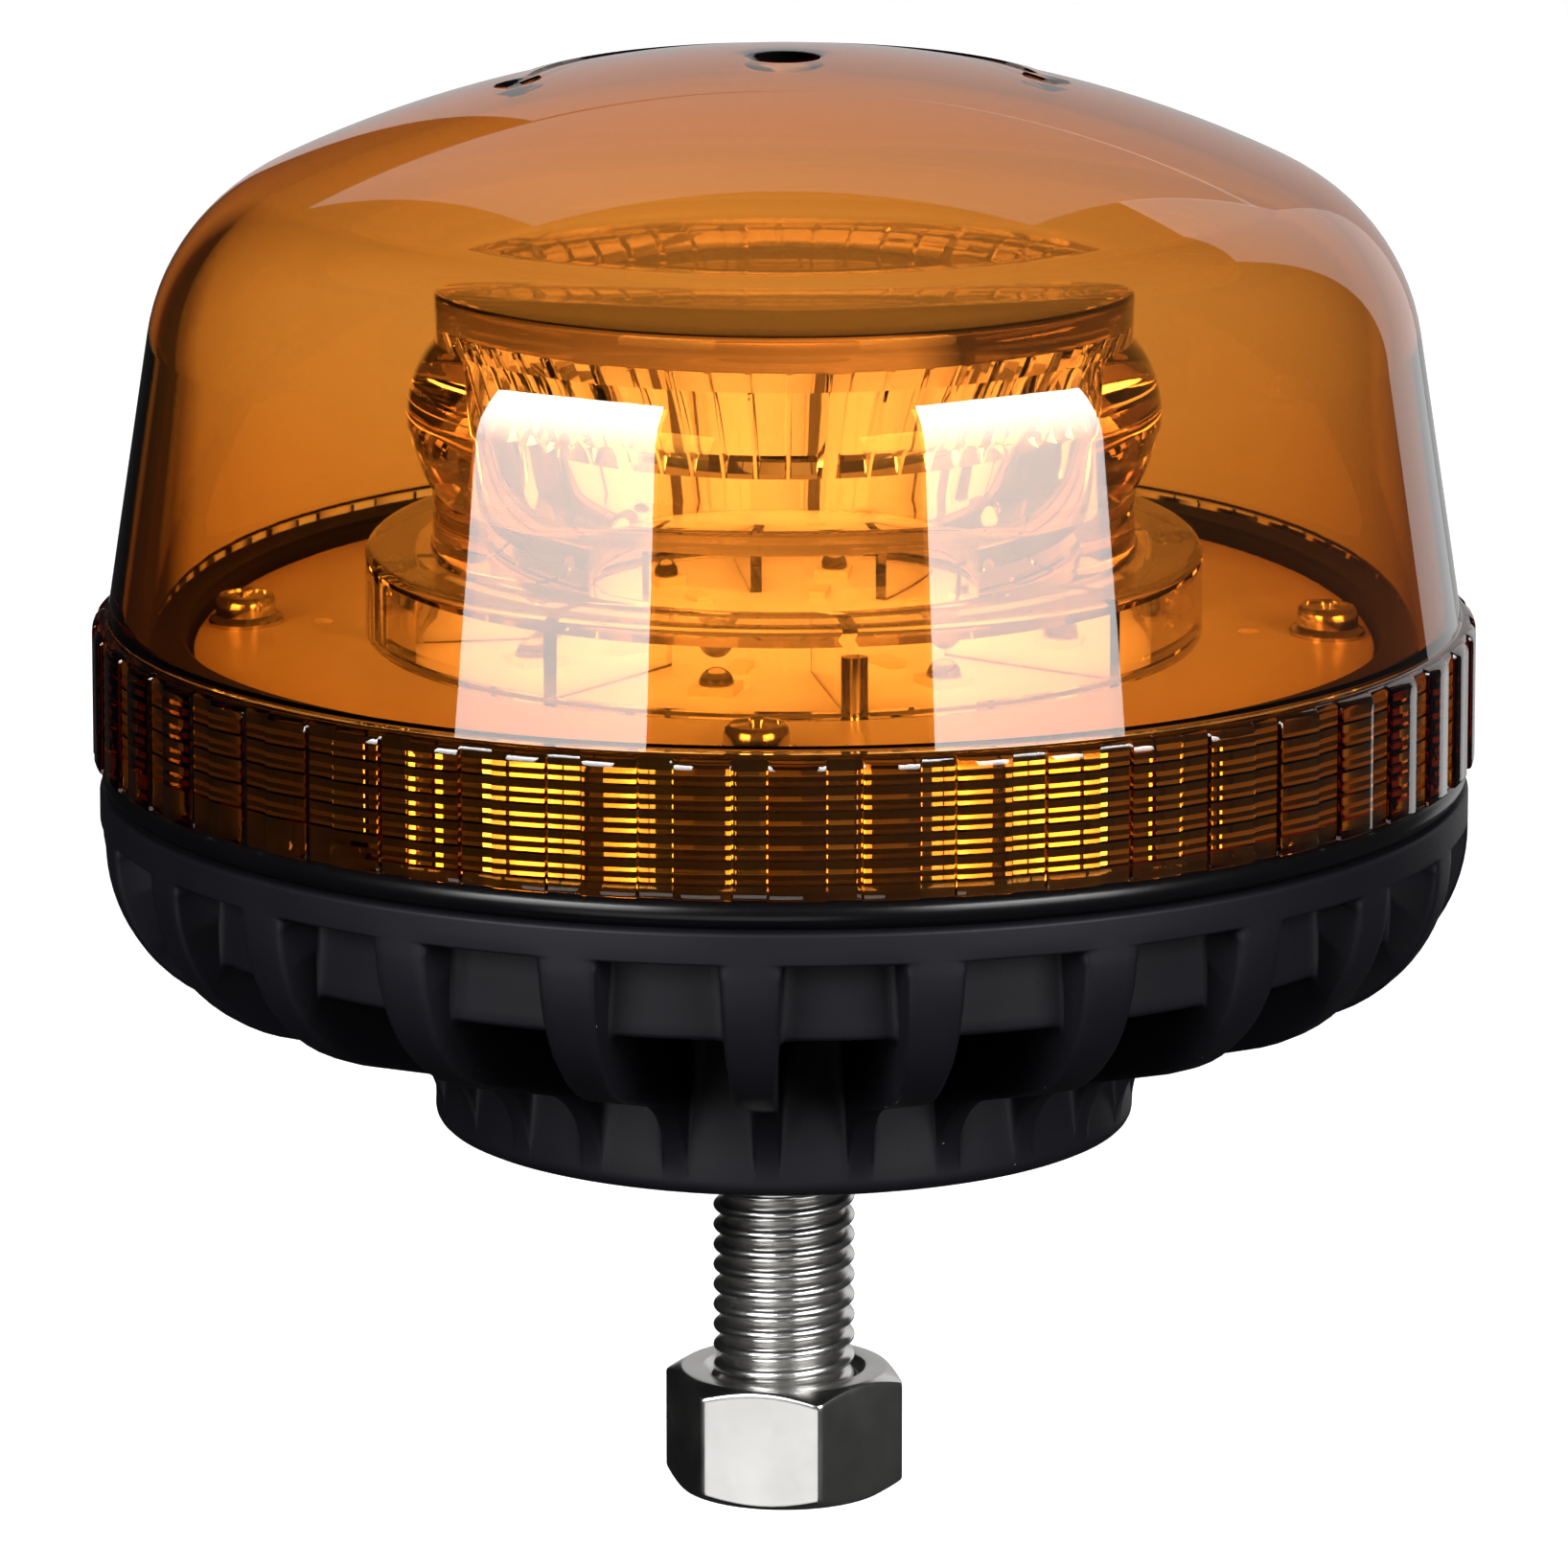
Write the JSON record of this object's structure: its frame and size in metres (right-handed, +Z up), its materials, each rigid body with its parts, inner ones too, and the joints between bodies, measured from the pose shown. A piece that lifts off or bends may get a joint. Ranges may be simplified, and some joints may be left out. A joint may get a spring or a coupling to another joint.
{
  "type": "warning beacon",
  "caption": "Amber LED warning beacon: screw-on dome with a band of grip pads over a clear ring optic, on a finned black base with a single-bolt mount and nut.",
  "frame": {"origin": "centre of the round mounting face under the hub, on the bolt's axis", "axes": "+Z up along the bolt's axis towards the dome, front is -Y"},
  "size_m": [0.1158, 0.1158, 0.1227],
  "materials": {
    "amber_lens": "clear amber polycarbonate, polished",
    "base_black": "black glass-filled polyamide, fine matt",
    "seal_rubber": "black rubber, glossy moulded skin",
    "stainless": "bright stainless steel",
    "plated_steel": "zinc plated",
    "board_white": "white solder mask on glass-epoxy board",
    "clear_optic": "clear acrylic, polished",
    "led_body": "white LED body",
    "led_silicone": "clear silicone",
    "chip_black": "black epoxy moulding",
    "ferrite_grey": "ferrite, matt",
    "can_aluminium": "bright can",
    "terminal_green": "moulded polyamide",
    "grommet_rubber": "black rubber, matt"
  },
  "bodies": {
    "base": {"base_housing": "base_black", "mounting_bolt": "stainless", "bolt_seal": "grommet_rubber", "bolt_keeper": "plated_steel", "keeper_screws": "plated_steel", "cable_grommet": "grommet_rubber", "led_board": "board_white", "board_screws": "plated_steel", "ring_optic": "clear_optic", "optic_screws": "plated_steel", "led_packages": "led_body", "led_domes": "led_silicone", "led_resistors": "chip_black", "power_inductor": "ferrite_grey", "driver_chip": "chip_black", "power_diodes": "chip_black", "bulk_capacitors": "can_aluminium", "lead_terminal": "terminal_green"},
    "seal": {"lens_seal": "seal_rubber"},
    "lens": {"lens_dome": "amber_lens"},
    "nut": {"mounting_nut": "stainless"}
  },
  "joints": [
    {"name": "lens_rise", "type": "slide", "parent": "base", "child": "seal", "axis": [0, 0, 1], "range_m": [0, 0.01]},
    {"name": "lens_turn", "type": "hinge", "parent": "seal", "child": "lens", "pos_m": [0, 0, 0.0316], "axis": [0, 0, 1], "range_deg": [0, 1800]},
    {"name": "nut_run", "type": "slide", "parent": "base", "child": "nut", "axis": [0, 0, 1], "range_m": [-0.0108, 0.0218]}
  ],
  "couplings": [
    {"joint": "lens_rise", "follows": "lens_turn", "m_per_rad": 0.00031831}
  ]
}
